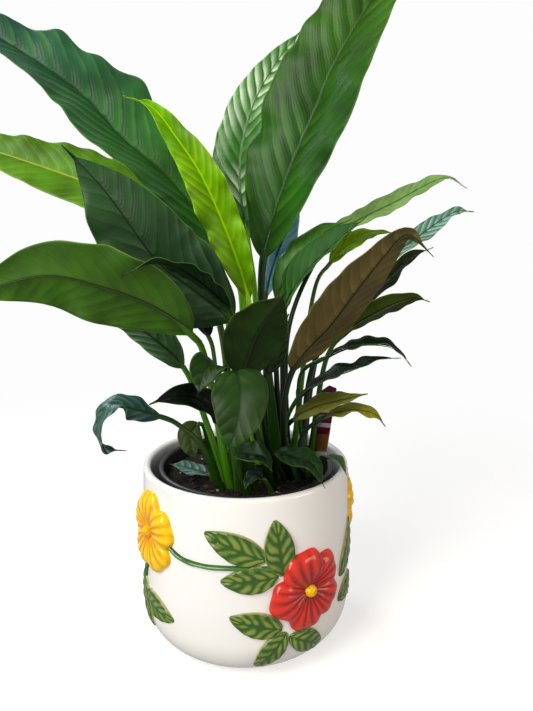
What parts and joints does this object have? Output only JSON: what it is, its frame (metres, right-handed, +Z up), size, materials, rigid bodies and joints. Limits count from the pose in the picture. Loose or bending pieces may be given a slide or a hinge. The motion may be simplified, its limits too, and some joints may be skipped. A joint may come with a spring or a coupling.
{
  "type": "potted peace lily",
  "caption": "Leafy peace lily in a thin grow pot, standing in a round glazed cover pot with moulded flowers, with a plant label.",
  "frame": {"origin": "centre of the cover pot's flat foot, on the surface it stands on", "axes": "+Z up; -Y towards the side of the pot with the red flower in front; +X to the right of that side"},
  "size_m": [0.5911, 0.2658, 0.7364],
  "materials": {
    "glaze_white": "gloss glaze",
    "glaze_red": "hand-painted gloss glaze",
    "glaze_yellow": "hand-painted gloss glaze",
    "glaze_green": "hand-painted gloss glaze",
    "grow_pot_black": "thin satin plastic",
    "potting_mix": "moist crumbly mix",
    "label_card": "printed plastic",
    "leaf_deep": "waxy leaf",
    "leaf_mid": "waxy leaf",
    "leaf_lime": "young soft leaf",
    "leaf_grey": "waxy leaf",
    "leaf_olive": "matt leaf underside"
  },
  "bodies": {
    "root": {"cover_pot": "glaze_white", "grow_pot": "grow_pot_black", "potting_mix": "potting_mix", "plant_label": "label_card", "leaf_tall_left": "leaf_deep", "leaf_tall_right": "leaf_mid", "leaf_back_glossy": "leaf_mid", "leaf_young_lime": "leaf_lime", "leaf_back_left": "leaf_lime", "leaf_dark_left": "leaf_deep", "leaf_broad_left": "leaf_mid", "leaf_arched_small": "leaf_grey", "leaf_grey_left": "leaf_grey", "leaf_bent_tip": "leaf_mid", "leaf_limp_left": "leaf_grey", "leaf_dark_low": "leaf_deep", "leaf_front_brown": "leaf_olive", "leaf_front_drooping": "leaf_grey", "leaf_front_small": "leaf_grey", "leaf_rim_front": "leaf_deep", "leaf_rim_right": "leaf_deep", "leaf_soil_sprout": "leaf_grey", "leaf_fallen": "leaf_grey", "leaf_hanging_back": "leaf_olive", "leaf_brown_right": "leaf_olive", "leaf_folded_right": "leaf_deep", "leaf_folded_back": "leaf_mid", "leaf_blue_back": "leaf_grey", "leaf_slender_right": "leaf_grey", "leaf_lime_back": "leaf_lime", "leaf_far_right": "leaf_grey", "leaf_edge_right": "leaf_mid", "leaf_olive_right": "leaf_olive", "leaf_hooked_right": "leaf_deep", "leaf_low_right_upper": "leaf_deep", "leaf_low_right_middle": "leaf_olive", "leaf_low_right_lower": "leaf_olive", "leaf_behind_front": "leaf_grey", "leaf_inner_back_left": "leaf_lime", "leaf_inner_grey": "leaf_grey"}
  },
  "joints": []
}
